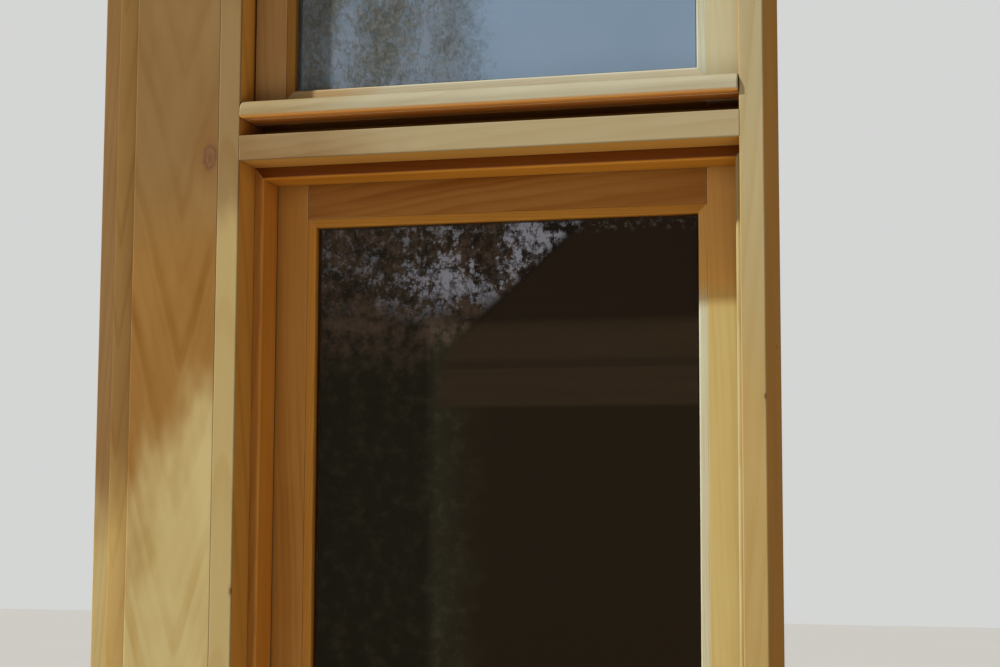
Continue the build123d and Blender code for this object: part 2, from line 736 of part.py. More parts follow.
def make_hinge(name, sign):
    """A butt hinge in the corner under the head; the pin is riveted in the frame leaf."""
    centre_x = sign * HINGE_X
    axis_y = VENT_FACE_Y - HINGE_R - HINGE_CLEAR
    axis_z = HEAD_Z - HINGE_R - HINGE_CLEAR
    side_l = (HINGE_L - HINGE_KNUCKLE_L) / 2
    outer_l = side_l - HINGE_KNUCKLE_GAP
    relief = HINGE_R + HINGE_CLEAR
    axis_plane = Plane.YZ.offset(centre_x - HINGE_L / 2)
    with BuildPart() as frame_leaf:
        with Locations((centre_x, axis_y, HEAD_Z)):
            Box(HINGE_L, LEAF_L, LEAF_T, align=(Align.CENTER, Align.MAX, Align.MAX))
            Box(
                HINGE_KNUCKLE_L + 2 * HINGE_KNUCKLE_GAP,
                relief,
                LEAF_T,
                align=(Align.CENTER, Align.MAX, Align.MAX),
                mode=Mode.SUBTRACT,
            )
        for start in (0.0, HINGE_L - outer_l):
            with BuildSketch(axis_plane.offset(start)):
                with Locations((axis_y, axis_z)):
                    Circle(HINGE_R)
            extrude(amount=outer_l)
        with BuildSketch(axis_plane):
            with Locations((axis_y, axis_z)):
                Circle(HINGE_PIN_R)
        extrude(amount=HINGE_L)
    finish(frame_leaf, f"hinge_frame_leaf_{name}")
    with BuildPart() as sash_leaf:
        with Locations((centre_x, VENT_FACE_Y, axis_z - relief)):
            Box(HINGE_L, LEAF_T, LEAF_L - relief, align=(Align.CENTER, Align.MAX, Align.MAX))
        with Locations((centre_x, VENT_FACE_Y, axis_z)):
            Box(HINGE_KNUCKLE_L, LEAF_T, relief, align=(Align.CENTER, Align.MAX, Align.MAX))
        with BuildSketch(axis_plane.offset(side_l)):
            with Locations((axis_y, axis_z)):
                Circle(HINGE_R)
        extrude(amount=HINGE_KNUCKLE_L)
        with BuildSketch(axis_plane):
            with Locations((axis_y, axis_z)):
                Circle(HINGE_PIN_R + HINGE_PIN_FIT)
        extrude(amount=HINGE_L, mode=Mode.SUBTRACT)
    finish(sash_leaf, f"hinge_sash_leaf_{name}")


def make_vent_bolt():
    """A small tower bolt on the vent's bottom rail; it drops into the upstand."""
    tip = UPSTAND_Z + BOLT_LIFT
    plate_low = tip
    plate_high = plate_low + BOLT_PLATE_H
    guide_low = plate_low + BOLT_GUIDE_H / 2
    guide_high = plate_high - BOLT_GUIDE_H / 2
    with BuildPart() as housing:
        with Locations((0, VENT_BACK_Y, plate_low)):
            Box(BOLT_PLATE_W, BOLT_PLATE_T, BOLT_PLATE_H, align=(Align.CENTER, Align.MIN, Align.MIN))
        fillet(housing.edges().filter_by(Axis.Y), BOLT_PLATE_W / 8)
        for centre_z in (guide_low + BOLT_GUIDE_H / 2, guide_high - BOLT_GUIDE_H / 2):
            with Locations((0, VENT_BACK_Y, centre_z)):
                Box(BOLT_GUIDE_W, BOLT_GUIDE_D, BOLT_GUIDE_H, align=(Align.CENTER, Align.MIN, Align.CENTER))
        with BuildSketch(Plane.XY.offset(plate_low)):
            with Locations((0, BOLT_Y)):
                Circle(BOLT_R + BOLT_FIT)
        extrude(amount=BOLT_PLATE_H, mode=Mode.SUBTRACT)
    finish(housing, "vent_bolt_housing")
    knob_z = guide_high - BOLT_GUIDE_H - BOLT_KNOB_R - BOLT_FIT * 5
    with BuildPart() as bolt:
        with BuildSketch(Plane.XY.offset(tip)):
            with Locations((0, BOLT_Y)):
                Circle(BOLT_R)
        extrude(amount=BOLT_L)
        chamfer(bolt.edges().group_by(Axis.Z)[0], BOLT_R / 4)
        with BuildSketch(Plane.YZ):
            with Locations((BOLT_Y, knob_z)):
                Circle(BOLT_KNOB_R)
        extrude(amount=BOLT_KNOB_L)
        chamfer(bolt.edges().filter_by(GeomType.CIRCLE).sort_by(Axis.X)[-1], BOLT_KNOB_R / 3)
    finish(bolt, "vent_bolt")


def make_lock():
    """A turn lock: the tongue hangs down at rest and turns under the keeper's lip."""
    pivot_z = LOCK_Z
    with BuildPart() as plate:
        with Locations((0, LOWER_BACK_Y, pivot_z)):
            Box(LOCK_PLATE, LOCK_PLATE_T, LOCK_PLATE, align=(Align.CENTER, Align.MIN, Align.CENTER))
        fillet(plate.edges().filter_by(Axis.Y), LOCK_PLATE / 6)
        with BuildSketch(Plane.XZ.offset(-LOWER_BACK_Y)):
            with Locations((0, pivot_z)):
                Circle(LOCK_PIN_R)
        extrude(amount=-(LOCK_PLATE_T + SEAT_GAP + LOCK_ARM_T))
    finish(plate, "lock_plate")
    front = LOWER_BACK_Y + LOCK_PLATE_T + SEAT_GAP
    with BuildPart() as lever:
        with BuildSketch(Plane.XZ.offset(-front)):
            with Locations((0, pivot_z)):
                Circle(LOCK_HUB_R)
            with Locations((0, pivot_z - LOCK_ARM_L / 2)):
                Rectangle(LOCK_ARM_W, LOCK_ARM_L)
            with Locations((0, pivot_z + LOCK_THUMB_L / 2)):
                Rectangle(LOCK_ARM_W, LOCK_THUMB_L)
        extrude(amount=-LOCK_ARM_T)
        fillet(lever.edges().filter_by(Axis.Y).group_by(Axis.Z)[0], LOCK_ARM_W / 3)
        fillet(lever.edges().filter_by(Axis.Y).group_by(Axis.Z)[-1], LOCK_ARM_W / 2.5)
        with BuildSketch(Plane.XZ.offset(-front)):
            with Locations((0, pivot_z)):
                Circle(LOCK_PIN_R + LOCK_PIN_FIT)
        extrude(amount=-LOCK_ARM_T, mode=Mode.SUBTRACT)
    finish(lever, "lock_lever")
    bead_top = STAFF_BOTTOM_Z
    lip_low = pivot_z + LOCK_ARM_W / 2 + KEEPER_GAP
    lip_high = lip_low + KEEPER_T
    right = KEEPER_X + KEEPER_W
    with BuildPart() as keeper:
        with BuildSketch(Plane.XZ.offset(-STAFF_Y - SEAT_GAP)):
            with BuildLine():
                Polyline(
                    (right - KEEPER_T, bead_top),
                    (right - KEEPER_T, lip_low),
                    (KEEPER_X, lip_low),
                    (KEEPER_X, lip_high),
                    (right, lip_high),
                    (right, bead_top + KEEPER_T),
                    (right + KEEPER_W, bead_top + KEEPER_T),
                    (right + KEEPER_W, bead_top),
                    close=True,
                )
            make_face()
        extrude(amount=-KEEPER_D)
    finish(keeper, "lock_keeper")


def make_lift(name, sign):
    """A hook lift: a plate with a finger hook that curls up."""
    low = LIFT_Z
    back = LOWER_BACK_Y
    reach = back + LIFT_REACH
    hook_z = low + LIFT_H * 0.3
    tip_z = low + LIFT_H * 0.75
    with BuildPart() as lift:
        with BuildSketch(Plane.YZ.offset(sign * LIFT_X - LIFT_W / 2)) as profile:
            with BuildLine():
                Polyline(
                    (back, low),
                    (back + LIFT_T, low),
                    (back + LIFT_T, hook_z - LIFT_T),
                    (reach, hook_z - LIFT_T),
                    (reach, tip_z),
                    (reach - LIFT_T, tip_z),
                    (reach - LIFT_T, hook_z),
                    (back + LIFT_T, hook_z),
                    (back + LIFT_T, low + LIFT_H),
                    (back, low + LIFT_H),
                    close=True,
                )
            make_face()
            corners = profile.vertices().sort_by(Axis.Y)
            outer = corners.filter_by(lambda v: v.Y > reach - LIFT_T / 2 and v.Z < tip_z - LIFT_T)
            fillet(outer, LIFT_T * 2)
            inner = profile.vertices().filter_by(
                lambda v: abs(v.Y - reach + LIFT_T) < LIFT_T / 4 and abs(v.Z - hook_z) < LIFT_T / 4
            )
            fillet(inner, LIFT_T)
        extrude(amount=LIFT_W)
        fillet(lift.edges().filter_by(Axis.Y).group_by(Axis.Z)[-1], LIFT_T * 1.5)
    finish(lift, f"sash_lift_{name}")


def main():
    os.makedirs("parts", exist_ok=True)
    make_sill()
    make_head()
    make_transom()
    make_casing()
    make_stops()
    make_seals()
    make_screen()
    for name, sign in SIDES:
        make_post(name, sign)
        make_balance(name, sign)
        make_hinge(name, sign)
        make_lift(name, sign)
    make_sash(
        "lower",
        LOWER_LOW_Z,
        LOWER_HIGH_Z,
        LOWER_FACE_Y,
        LOWER_T,
        LOWER_STILE_W,
        LOWER_TOP_W,
        LOWER_BOTTOM_W,
        grooved=True,
        nosed=False,
    )
    make_sash(
        "upper",
        VENT_LOW_Z,
        VENT_HIGH_Z,
        VENT_FACE_Y,
        VENT_T,
        VENT_STILE_W,
        VENT_TOP_W,
        VENT_BOTTOM_W,
        grooved=False,
        nosed=True,
    )
    make_nose()
    make_vent_bolt()
    make_lock()


main()
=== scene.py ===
import math

import bmesh
import bpy
from mathutils import Matrix, Vector


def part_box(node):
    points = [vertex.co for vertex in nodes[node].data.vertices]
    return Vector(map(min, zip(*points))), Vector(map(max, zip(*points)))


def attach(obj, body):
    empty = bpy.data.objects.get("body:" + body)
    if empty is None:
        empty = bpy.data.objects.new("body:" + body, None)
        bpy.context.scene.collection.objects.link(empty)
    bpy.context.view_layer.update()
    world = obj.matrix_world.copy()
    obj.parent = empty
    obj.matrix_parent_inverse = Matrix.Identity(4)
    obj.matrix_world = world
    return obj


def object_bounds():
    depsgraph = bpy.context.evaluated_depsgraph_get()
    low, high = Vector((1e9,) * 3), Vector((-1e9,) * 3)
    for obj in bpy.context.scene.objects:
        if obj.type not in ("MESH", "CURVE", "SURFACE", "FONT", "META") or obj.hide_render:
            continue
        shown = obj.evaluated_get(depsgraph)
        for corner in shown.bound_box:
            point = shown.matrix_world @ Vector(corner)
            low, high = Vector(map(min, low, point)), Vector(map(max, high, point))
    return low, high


# Looks of the varnished sash window: materials for every piece, small screws, light, floor and camera.

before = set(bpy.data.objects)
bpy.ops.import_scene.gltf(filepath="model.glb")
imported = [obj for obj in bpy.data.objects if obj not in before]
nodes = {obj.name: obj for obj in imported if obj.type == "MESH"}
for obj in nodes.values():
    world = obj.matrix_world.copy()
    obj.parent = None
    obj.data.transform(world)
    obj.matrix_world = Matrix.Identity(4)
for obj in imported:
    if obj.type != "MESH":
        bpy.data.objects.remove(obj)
cad_low, cad_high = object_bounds()


def scaled(colour, factors):
    """A colour with each channel times its factor."""
    return tuple(channel * factor for channel, factor in zip(colour, factors))


class Graph:
    """A material and short ways to add its nodes."""

    UNARY = ("SQRT", "FRACT", "ABSOLUTE")

    def __init__(self, name):
        self.material = bpy.data.materials.new(name)
        self.material.use_nodes = True
        self.tree = self.material.node_tree
        self.tree.nodes.clear()
        self.output = self.tree.nodes.new("ShaderNodeOutputMaterial")

    def put(self, socket, value):
        if isinstance(value, bpy.types.NodeSocket):
            self.tree.links.new(value, socket)
        else:
            socket.default_value = value

    def node(self, kind, settings=None, **inputs):
        made = self.tree.nodes.new(kind)
        for key, value in (settings or {}).items():
            setattr(made, key, value)
        for key, value in inputs.items():
            self.put(made.inputs[key.replace("_", " ")], value)
        return made

    def math(self, operation, a, b=0.0, clamp=False):
        made = self.tree.nodes.new("ShaderNodeMath")
        made.operation = operation
        made.use_clamp = clamp
        self.put(made.inputs[0], a)
        if operation not in self.UNARY:
            self.put(made.inputs[1], b)
        return made.outputs[0]

    def add(self, a, b):
        return self.math("ADD", a, b)

    def sub(self, a, b):
        return self.math("SUBTRACT", a, b)

    def mul(self, a, b):
        return self.math("MULTIPLY", a, b)

    def ramp(self, value, low, high):
        """0 at low, 1 at high, smooth between."""
        made = self.tree.nodes.new("ShaderNodeMapRange")
        made.interpolation_type = "SMOOTHSTEP"
        self.put(made.inputs["Value"], value)
        made.inputs["From Min"].default_value = low
        made.inputs["From Max"].default_value = high
        return made.outputs["Result"]

    def fall(self, value, low, high):
        """1 at low, 0 at high, smooth between."""
        return self.sub(1.0, self.ramp(value, low, high))

    def swing(self, noise, width):
        """A noise's departure from its middle, over the given width."""
        return self.mul(self.sub(noise, 0.5), width)

    def mix(self, factor, a, b, blend="MIX"):
        made = self.tree.nodes.new("ShaderNodeMix")
        made.data_type = "RGBA"
        made.blend_type = blend
        made.clamp_factor = True
        self.put(made.inputs[0], factor)
        for socket, value in ((made.inputs[6], a), (made.inputs[7], b)):
            self.put(socket, (*value, 1.0) if isinstance(value, tuple) and len(value) == 3 else value)
        return made.outputs[2]

    def ringed(self, amount, tone, contrast):
        """From a tone's pale early wood to its dark late wood."""
        pale, dark = contrast
        return self.mix(amount, scaled(tone, pale), scaled(tone, dark))

    def vector(self, x, y, z):
        made = self.tree.nodes.new("ShaderNodeCombineXYZ")
        for socket, value in zip(made.inputs, (x, y, z)):
            self.put(socket, value)
        return made.outputs[0]

    def noise(self, vector, scale, detail=2.0, rough=0.5):
        made = self.tree.nodes.new("ShaderNodeTexNoise")
        self.put(made.inputs["Vector"], vector)
        made.inputs["Scale"].default_value = scale
        made.inputs["Detail"].default_value = detail
        made.inputs["Roughness"].default_value = rough
        return made.outputs["Fac"]

    def face_noise(self, x, z, scale_x, scale_z, layer, detail, rough=0.5):
        """Noise over the window's face. Another layer is another drawing."""
        return self.noise(self.vector(self.mul(x, scale_x), layer, self.mul(z, scale_z)), 1.0, detail, rough)

    def place(self):
        """The surface point in the row frame, in metres, as three sockets."""
        made = self.tree.nodes.new("ShaderNodeTexCoord")
        split = self.tree.nodes.new("ShaderNodeSeparateXYZ")
        self.tree.links.new(made.outputs["Object"], split.inputs[0])
        return split.outputs[0], split.outputs[1], split.outputs[2]

    def finish(self, shader):
        self.tree.links.new(shader, self.output.inputs["Surface"])
        return self.material


# Pale early wood and dark late wood, as factors on a tone: for the base tone, for the painted light and shade past
# a fade, and for the tones of side zones
FRESH = ((1.10, 1.14, 1.24), (0.78, 0.64, 0.42))
PAINTED_FADE_RINGS = ((1.07, 1.10, 1.16), (0.82, 0.72, 0.52))
LIGHT_AND_ROOM_RINGS = ((1.10, 1.14, 1.20), (0.78, 0.64, 0.46))

# Knots: factors for the stained wood round them, and the heart's two browns
KNOT_STAIN = (0.95, 0.78, 0.85)
KNOT_BROWNS = ((0.125, 0.056, 0.028), (0.200, 0.105, 0.055))
PIN_KNOT = 0.004

# Seams darker with dirt and painted contact shade, inner corners with painted warm shade, and arrises paler with
# wear and a painted highlight, lengths in metres
SEAM_REACH = 0.004
SEAM_DIRT_AND_SHADE = (0.34, 0.26, 0.20)
CORNER_REACH = 0.035
CORNER_SHADE = (0.50, 0.36, 0.22)
ARRIS_RADIUS = 0.0013
ARRIS_WEAR_AND_HIGHLIGHT = (0.78, 0.70, 0.52)

# Grain patterns: their scale across and along the grain, per metre
BEND = (9.0, 2.6)
SMALL_BEND = (26.0, 5.5)
RING_STRENGTH = (16.0, 3.0)
FIBRE = (380.0, 6.0)
FINE_FIBRE = (1500.0, 45.0)
BAND = (70.0, 2.2)
PATCH = (11.0, 4.0)

# Rings further apart than this are the flames of a flat-sawn board: a broader dark line that wanders less
FLAME_SPACING = 0.02


def pine(name, grain, tone, pith, slope=30.0, rings=((0.006, 0.30),), warp=0.004, seed=0.0, knot=None, fade=None,
         tilt=0.0, painted_light_and_room_side=(), quiet=None, offset=0.0, coat=0.24, streak=0.34, blotch=0.42):
    """Clear-varnished pine of one mean colour. Lengths are in metres.

    grain: the member's axis. pith: the middle of the growth rings across it.
    slope: how steeply the rings taper along it. A low one draws the nested V marks of a board sawn near the middle.
    rings: pairs of spacing and strength. warp: how far they wander. quiet: the stretch over which they fade out.
    seed and offset: another drawing of the grain. knot: across, along, half width, half length.
    fade: from, to and the tone below it, painted light and shade: a part lit by the sun or lying in shade gets its
    own tone. tilt: the slant of its edge.
    The side zones: axis, from, to and the tone past it, for each: painted shade or light on that side or underside,
    or the room side's own tone.
    coat, streak, blotch: the strength of the varnish, of the fibre and of the cloudy patches.
    """
    g = Graph(name)
    x, y, z = g.place()
    across, along = (x, z) if grain == "Z" else (z, x)
    wide = g.add(across, seed)
    long = g.add(along, seed * 3.7)

    def drawn_out(pattern, detail, rough=0.5, shift=0.0):
        """Noise drawn out along the grain."""
        scale, along_scale = pattern
        spot = g.vector(g.mul(wide, scale), g.mul(y, scale), g.add(g.mul(long, along_scale), shift))
        return g.noise(spot, 1.0, detail, rough)

    # Distance from the pith, which tapers along the grain and wanders
    bend = drawn_out(BEND, 2.0)
    from_pith = g.sub(across, pith[0])
    deep = g.sub(y, pith[1])
    reach = g.math("SQRT", g.add(g.mul(from_pith, from_pith), g.mul(deep, deep)))
    reach = g.sub(reach, g.mul(along, 1.0 / slope))
    reach = g.add(reach, g.swing(bend, 2.0 * warp))
    reach = g.add(reach, g.swing(drawn_out(SMALL_BEND, 2.0, shift=5.0), 0.7 * warp))

    # The knot lies near the outside face and pushes the rings aside
    if knot is not None:
        centre_u, centre_l, size_u, size_l = knot
        ku = g.math("DIVIDE", g.sub(across, centre_u), size_u)
        kl = g.math("DIVIDE", g.sub(along, centre_l), size_l)
        distance = g.math("SQRT", g.add(g.mul(ku, ku), g.mul(kl, kl)))
        ragged = g.noise(g.vector(g.mul(across, 90.0), y, g.mul(along, 90.0)), 1.0, 3.0)
        distance = g.add(distance, g.swing(ragged, 0.9))
        near_face = g.fall(y, 0.0015, 0.004) if size_u < PIN_KNOT else g.fall(y, 0.012, 0.022)
        heart = g.mul(g.fall(distance, 0.6, 1.3), near_face)
        halo = g.mul(g.fall(distance, 0.8, 3.2), near_face)
        reach = g.add(reach, g.mul(halo, 0.010))

    # Late wood: a slow rise and a sharp end in each ring
    strength = g.add(g.ramp(drawn_out(RING_STRENGTH, 1.0), 0.30, 0.70), 0.35)
    amount = None
    for index, (spacing, share) in enumerate(rings):
        wander, start = (0.35, 0.58) if spacing > FLAME_SPACING else (1.5, 0.30)
        count = g.add(g.math("DIVIDE", reach, spacing), offset)
        uneven = g.noise(g.vector(g.mul(count, 0.45), float(index), seed), 1.0, 1.0)
        phase = g.math("FRACT", g.add(count, g.swing(uneven, wander)))
        late = g.mul(g.ramp(phase, start, 0.86), g.fall(phase, 0.88, 0.97))
        late = g.mul(late, g.mul(strength, share))
        if quiet is not None:
            late = g.mul(late, g.sub(1.0, g.mul(g.ramp(along, *quiet), 0.5)))
        amount = late if amount is None else g.add(amount, late)

    # Fibre, bands and patches over the rings
    fibre = drawn_out(FIBRE, 3.0, 0.6)
    fine = drawn_out(FINE_FIBRE, 1.0)
    band = drawn_out(BAND, 2.0)
    patch = drawn_out(PATCH, 3.0, 0.6)
    amount = g.add(amount, g.swing(fibre, streak))
    amount = g.add(amount, g.swing(band, streak * 1.4))
    amount = g.add(amount, g.swing(fine, 0.16))
    amount = g.math("ADD", g.add(amount, g.swing(patch, blotch * 2.0)), 0.22, clamp=True)
    colour = g.ringed(amount, tone, FRESH)

    # Painted light and shade: past the fade, the tone of the part that is lit or in shade; past each zone's edge,
    # its painted shade or light, or the room side's own tone
    if fade is not None:
        low, high, bleached = fade
        edge = g.add(g.sub(along, g.mul(from_pith, tilt)), g.add(g.swing(patch, 0.45), g.swing(bend, 0.25)))
        colour = g.mix(g.ramp(edge, low, high), g.ringed(amount, bleached, PAINTED_FADE_RINGS), colour)
    for axis, low, high, zone_tone in painted_light_and_room_side:
        past = g.ramp((x, y, z)["xyz".index(axis)], low, high)
        colour = g.mix(past, colour, g.ringed(amount, zone_tone, LIGHT_AND_ROOM_RINGS))
    dark = scaled(tone, FRESH[1])
    if knot is not None:
        colour = g.mix(g.mul(halo, 0.32), colour, scaled(dark, KNOT_STAIN))
        colour = g.mix(g.mul(heart, 0.78), colour, g.mix(g.math("FRACT", g.mul(distance, 1.7)), *KNOT_BROWNS))

    # Seams: dirt and painted contact shade. Inner corners: painted shade. Arrises: wear and a painted highlight
    seam = g.node("ShaderNodeAmbientOcclusion", {"samples": 4}, Distance=SEAM_REACH).outputs["AO"]
    colour = g.mix(g.mul(g.fall(seam, 0.10, 0.62), 0.75), colour, scaled(dark, SEAM_DIRT_AND_SHADE))
    corner = g.node("ShaderNodeAmbientOcclusion", {"samples": 6}, Distance=CORNER_REACH).outputs["AO"]
    colour = g.mix(g.mul(g.fall(corner, 0.15, 0.95), 0.60), colour, g.mix(1.0, colour, CORNER_SHADE, "MULTIPLY"))
    rounded = g.node("ShaderNodeBevel", {"samples": 6}, Radius=ARRIS_RADIUS).outputs["Normal"]
    facing = g.node("ShaderNodeVectorMath", {"operation": "DOT_PRODUCT"})
    g.put(facing.inputs[0], rounded)
    g.put(facing.inputs[1], g.node("ShaderNodeNewGeometry").outputs["Normal"])
    # Rounded arrises paler: wear and a painted highlight where they catch the light
    arris = g.mul(g.ramp(g.sub(1.0, facing.outputs["Value"]), 0.005, 0.06), g.ramp(seam, 0.75, 0.95))
    colour = g.mix(g.mul(arris, g.ramp(band, 0.30, 0.60)), colour, g.mix(0.42, colour, ARRIS_WEAR_AND_HIGHLIGHT))

    height = g.sub(g.add(g.mul(fibre, 0.6), g.mul(fine, 0.35)), g.mul(amount, 0.4))
    bump = g.node("ShaderNodeBump", Strength=0.16, Distance=0.00025, Height=height, Normal=rounded)
    rough = g.add(g.mul(fibre, 0.10), g.add(g.mul(patch, 0.16), 0.32))
    shader = g.node("ShaderNodeBsdfPrincipled", Base_Color=colour, Roughness=rough, IOR=1.5,
                    Specular_IOR_Level=0.0, Coat_Weight=coat, Coat_Roughness=0.24, Coat_IOR=1.5,
                    Normal=bump.outputs["Normal"])
    return g.finish(shader.outputs[0])


# A sheet's clear edge: its alpha, and the width over which it passes into the middle
CLEAR_ALPHA = 0.10
CLEAR_SOFT = 0.0012


def pane(name, edge_box, paint_on, alpha, gloss):
    """One sheet of the double pane. It is clear along its edge, where the spacer shows through it."""
    g = Graph(name)
    x, _, z = g.place()
    left, right, low, high = edge_box
    inset = g.math("MINIMUM", g.math("MINIMUM", g.sub(x, left), g.sub(right, x)),
                   g.math("MINIMUM", g.sub(z, low), g.sub(high, z)))
    middle = g.ramp(inset, 0.0, CLEAR_SOFT)
    smear = g.face_noise(x, z, 24.0, 40.0, 1.0, 5.0, 0.7)
    dust = g.face_noise(x, z, 900.0, 900.0, 1.0, 1.0)
    colour = g.mix(g.mul(g.ramp(dust, 0.66, 0.80), 0.05), paint_on(g, x, z), (0.30, 0.30, 0.29))
    shader = g.node("ShaderNodeBsdfPrincipled", Base_Color=colour, IOR=1.5, Specular_IOR_Level=gloss,
                    Roughness=g.add(g.mul(smear, 0.06), 0.015),
                    Alpha=g.add(g.mul(middle, alpha - CLEAR_ALPHA), CLEAR_ALPHA))
    return g.finish(shader.outputs[0])


def metal(name, colour, worn, roughness, metallic=1.0, scale=700.0):
    """Brushed or cast fittings with small scratches and darker patches."""
    g = Graph(name)
    x, y, z = g.place()
    scratch = g.noise(g.vector(g.mul(x, scale), g.mul(y, scale), g.mul(z, scale * 0.06)), 1.0, 3.0)
    patch = g.noise(g.vector(g.mul(x, 60.0), g.mul(y, 60.0), g.mul(z, 60.0)), 1.0, 4.0)
    shade = g.mix(g.ramp(patch, 0.42, 0.75), colour, worn)
    bump = g.node("ShaderNodeBump", Strength=0.2, Distance=0.0001, Height=scratch)
    shader = g.node("ShaderNodeBsdfPrincipled", Base_Color=shade, Metallic=metallic,
                    Roughness=g.add(g.mul(scratch, 0.22), roughness - 0.08), Normal=bump.outputs["Normal"])
    return g.finish(shader.outputs[0])


def pile(name, colour, tip):
    """Short-haired seal or foam gasket."""
    g = Graph(name)
    x, y, z = g.place()
    hair = g.noise(g.vector(g.mul(x, 1800.0), g.mul(y, 900.0), g.mul(z, 1800.0)), 1.0, 2.0)
    shade = g.mix(g.ramp(hair, 0.4, 0.7), colour, tip)
    bump = g.node("ShaderNodeBump", Strength=0.6, Distance=0.0006, Height=hair)
    shader = g.node("ShaderNodeBsdfPrincipled", Base_Color=shade, Roughness=0.9, Normal=bump.outputs["Normal"])
    return g.finish(shader.outputs[0])


def gauze(name, colour, pitch):
    """Woven fly mesh: threads in two directions with open squares between."""
    g = Graph(name)
    x, _, z = g.place()

    def thread(value):
        cell = g.math("ABSOLUTE", g.sub(g.math("FRACT", g.math("DIVIDE", value, pitch)), 0.5))
        return g.ramp(cell, 0.28, 0.36)

    threads = g.math("MAXIMUM", thread(x), thread(z))
    worn = g.face_noise(x, z, 25.0, 25.0, 0.0, 4.0)
    shade = g.mix(g.ramp(worn, 0.4, 0.7), colour, scaled(colour, (1.5, 1.5, 1.5)))
    bump = g.node("ShaderNodeBump", Strength=0.5, Distance=0.0003, Height=threads)
    shader = g.node("ShaderNodeBsdfPrincipled", Base_Color=shade, Roughness=0.55, Alpha=threads,
                    Normal=bump.outputs["Normal"])
    return g.finish(shader.outputs[0])


def paint(name, material):
    """Give a CAD node its material in every slot."""
    slots = nodes[name].data.materials
    if not slots:
        slots.append(material)
    for index in range(len(slots)):
        slots[index] = material


# Wood tones, as linear colours. CREAM is a painted sunlit tone, for the upper sash's bottom glazing bead.
AMBER = (0.50, 0.215, 0.038)
STRAW = (0.47, 0.315, 0.105)
CREAM = (0.540, 0.510, 0.380)

# The frame and the casing. Seeds and piths are each piece's own.
paint("sill", pine("sill_pine", "X", STRAW, pith=(-0.03, 0.05), slope=14.0, rings=((0.009, 0.30),), seed=0.31))
# Painted light and shade: the face pale low down where the sun falls and darker above in painted shade; the reveal
# side in a painted shade tone
paint("post_left", pine(
    "post_left_pine", "Z", (0.262, 0.176, 0.076), pith=(-0.347, -0.012), slope=-5.0, rings=((0.045, 0.22),),
    warp=0.010, seed=1.2, knot=(-0.3312, 0.4450, 0.0016, 0.0042), fade=(0.850, 0.975, (0.405, 0.310, 0.140)),
    painted_light_and_room_side=[("y", 0.001, 0.005, (0.630, 0.305, 0.060))], coat=0.16, streak=0.14, blotch=0.26))
# Painted light and shade: the face paler at the top and more yellow-orange lower down; its right side in a painted
# shade tone, its side towards the opening in a paler lit tone
paint("post_right", pine(
    "post_right_pine", "Z", (0.405, 0.350, 0.205), pith=(0.30, -0.05), slope=16.0, rings=((0.012, 0.18),),
    seed=2.3, knot=(0.3588, 0.688, 0.0018, 0.0040), fade=(0.62, 1.15, (0.405, 0.292, 0.118)),
    painted_light_and_room_side=[("y", 0.001, 0.004, (0.445, 0.211, 0.030)), ("x", 0.3325, 0.3306, (0.430, 0.290, 0.112))],
    coat=0.05, streak=0.26, blotch=0.36))
paint("head", pine("head_pine", "X", STRAW, pith=(1.46, 0.2), slope=20.0, seed=3.1))
# Painted shade: darker towards the left end of the face, and a shade tone on the underside and the faces behind the
# front
paint("transom", pine(
    "transom_pine", "X", (0.372, 0.312, 0.181), pith=(0.98, -0.06), slope=18.0, rings=((0.010, 0.18),), seed=4.7,
    fade=(-0.30, -0.08, (0.245, 0.156, 0.070)), painted_light_and_room_side=[("y", 0.001, 0.005, (0.57, 0.300, 0.069))],
    streak=0.18, blotch=0.28))
# Painted light and shade: the board pale low down where the sun falls, darker in painted shade in the middle and
# near the top
paint("casing_board", pine(
    "board_pine", "Z", (0.262, 0.136, 0.034), pith=(-0.409, 0.004), slope=3.6,
    rings=((0.053, 0.46), (0.0177, 0.13)), warp=0.012, offset=0.73, seed=5.2,
    knot=(-0.3715, 1.0150, 0.0115, 0.0200), fade=(0.47, 0.72, (0.450, 0.360, 0.168)), tilt=0.8,
    painted_light_and_room_side=[("z", 0.84, 1.03, (0.232, 0.140, 0.054))], quiet=(0.80, 0.95), streak=0.12, blotch=0.84))
# Painted light and shade: the casing strips paler low down where the sun falls, darker above in painted shade
paint("casing_inner_strip", pine(
    "inner_strip_pine", "Z", (0.229, 0.131, 0.041), pith=(-0.500, 0.002), slope=7.0, rings=((0.021, 0.30),),
    warp=0.005, seed=6.4, fade=(0.46, 0.68, (0.420, 0.285, 0.102)), streak=0.16, blotch=0.50))
paint("casing_outer_strip", pine(
    "outer_strip_pine", "Z", (0.236, 0.138, 0.053), pith=(-0.560, 0.030), slope=18.0, rings=((0.008, 0.22),),
    seed=7.7, fade=(0.46, 0.70, (0.430, 0.325, 0.142)), streak=0.18, blotch=0.50))
# Painted light and shade: a pale lit tone, darker towards the left end, and a brown painted shade on the underside
paint("drip_nose", pine(
    "nose_pine", "X", (0.405, 0.385, 0.275), pith=(1.03, 0.06), slope=25.0, rings=((0.007, 0.16),), seed=8.1,
    fade=(-0.30, -0.10, (0.330, 0.255, 0.135)), painted_light_and_room_side=[("z", 1.0700, 1.0645, (0.74, 0.345, 0.080))],
    streak=0.24, blotch=0.34))
